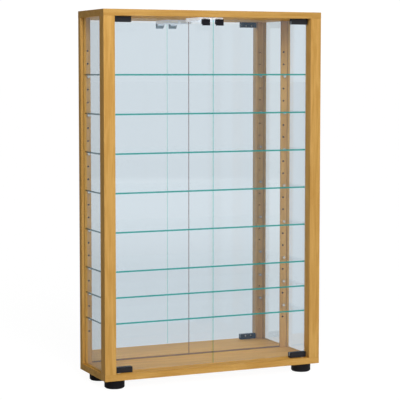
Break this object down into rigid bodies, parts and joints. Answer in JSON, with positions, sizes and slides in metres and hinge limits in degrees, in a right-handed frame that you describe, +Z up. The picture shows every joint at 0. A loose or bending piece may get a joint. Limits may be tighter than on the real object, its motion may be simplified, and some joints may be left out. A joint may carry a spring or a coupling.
{
  "type": "glass display cabinet",
  "caption": "Slim wooden-framed display cabinet with glass sides, pin-held glass shelves, a mirrored back and inset push-open glass doors on pivot clamps.",
  "frame": {"origin": "on the floor under the middle of the cabinet", "axes": "+Z up, +X to the right seen from the front, the doors face -Y"},
  "size_m": [0.588, 0.18, 0.922],
  "materials": {
    "beech": "satin beech-finish foil with fine lengthwise grain",
    "hardboard": "matt brown hardboard",
    "dowel_wood": "raw beech",
    "clear_glass": "clear float glass with ground, faintly green edges",
    "mirror_glass": "silvered float glass",
    "pin_nickel": "nickel-plated",
    "screw_steel": "zinc-plated",
    "black_metal": "satin black powder coat",
    "clear_pad": "soft translucent pad",
    "bush_plastic": "natural nylon",
    "pale_plastic": "moulded, fine satin",
    "magnet": "plated magnet",
    "black_plastic": "moulded, satin"
  },
  "bodies": {
    "carcass": {"top_board": "beech", "bottom_board": "beech", "front_stile_left": "beech", "front_stile_right": "beech", "back_stile_left": "beech", "back_stile_right": "beech", "back_panel": "hardboard", "carcass_dowels": "dowel_wood", "side_pane_left": "clear_glass", "side_pane_right": "clear_glass", "mirror_left": "mirror_glass", "mirror_right": "mirror_glass", "carcass_screws": "screw_steel", "foot_screws": "screw_steel", "latch_screws": "screw_steel", "latch_springs": "screw_steel", "pivot_bushes": "bush_plastic", "latch_housing_left": "pale_plastic", "latch_housing_right": "pale_plastic", "foot_front_left": "black_plastic", "foot_front_right": "black_plastic", "foot_back_left": "black_plastic", "foot_back_right": "black_plastic", "shelf_pins": "pin_nickel"},
    "door_left": {"door_glass_left": "clear_glass", "lower_clamp_left": "black_metal", "upper_clamp_left": "black_metal", "lower_pressure_plate_left": "screw_steel", "upper_pressure_plate_left": "screw_steel", "clamp_liners_left": "clear_pad", "grub_screws_left": "screw_steel", "pivot_pins_left": "screw_steel", "strike_plate_left": "black_metal"},
    "catch_left": {"latch_plunger_left": "pale_plastic", "latch_magnet_left": "magnet"},
    "door_right": {"door_glass_right": "clear_glass", "lower_clamp_right": "black_metal", "upper_clamp_right": "black_metal", "lower_pressure_plate_right": "screw_steel", "upper_pressure_plate_right": "screw_steel", "clamp_liners_right": "clear_pad", "grub_screws_right": "screw_steel", "pivot_pins_right": "screw_steel", "strike_plate_right": "black_metal"},
    "catch_right": {"latch_plunger_right": "pale_plastic", "latch_magnet_right": "magnet"},
    "glass_shelf_1": {"shelf_1": "clear_glass"},
    "glass_shelf_2": {"shelf_2": "clear_glass"},
    "glass_shelf_3": {"shelf_3": "clear_glass"},
    "glass_shelf_4": {"shelf_4": "clear_glass"},
    "glass_shelf_5": {"shelf_5": "clear_glass"},
    "glass_shelf_6": {"shelf_6": "clear_glass"},
    "glass_shelf_7": {"shelf_7": "clear_glass"},
    "glass_shelf_8": {"shelf_8": "clear_glass"}
  },
  "joints": [
    {"name": "left_door_swing", "type": "hinge", "parent": "carcass", "child": "door_left", "pos_m": [-0.253, -0.071, 0.472], "axis": [0, 0, -1], "range_deg": [0, 100]},
    {"name": "right_door_swing", "type": "hinge", "parent": "carcass", "child": "door_right", "pos_m": [0.253, -0.071, 0.472], "axis": [0, 0, 1], "range_deg": [0, 100]},
    {"name": "left_catch_push", "type": "slide", "parent": "carcass", "child": "catch_left", "axis": [0, 1, 0], "range_m": [0, 0.003], "stiffness_N_per_m": 500, "springref_m": -0.004},
    {"name": "right_catch_push", "type": "slide", "parent": "carcass", "child": "catch_right", "axis": [0, 1, 0], "range_m": [0, 0.003], "stiffness_N_per_m": 500, "springref_m": -0.004},
    {"name": "shelf_1_lift", "type": "slide", "parent": "carcass", "child": "glass_shelf_1", "axis": [0, 0, 1], "range_m": [0, 0.025]},
    {"name": "shelf_2_lift", "type": "slide", "parent": "carcass", "child": "glass_shelf_2", "axis": [0, 0, 1], "range_m": [0, 0.025]},
    {"name": "shelf_3_lift", "type": "slide", "parent": "carcass", "child": "glass_shelf_3", "axis": [0, 0, 1], "range_m": [0, 0.025]},
    {"name": "shelf_4_lift", "type": "slide", "parent": "carcass", "child": "glass_shelf_4", "axis": [0, 0, 1], "range_m": [0, 0.025]},
    {"name": "shelf_5_lift", "type": "slide", "parent": "carcass", "child": "glass_shelf_5", "axis": [0, 0, 1], "range_m": [0, 0.025]},
    {"name": "shelf_6_lift", "type": "slide", "parent": "carcass", "child": "glass_shelf_6", "axis": [0, 0, 1], "range_m": [0, 0.025]},
    {"name": "shelf_7_lift", "type": "slide", "parent": "carcass", "child": "glass_shelf_7", "axis": [0, 0, 1], "range_m": [0, 0.025]},
    {"name": "shelf_8_lift", "type": "slide", "parent": "carcass", "child": "glass_shelf_8", "axis": [0, 0, 1], "range_m": [0, 0.025]}
  ]
}
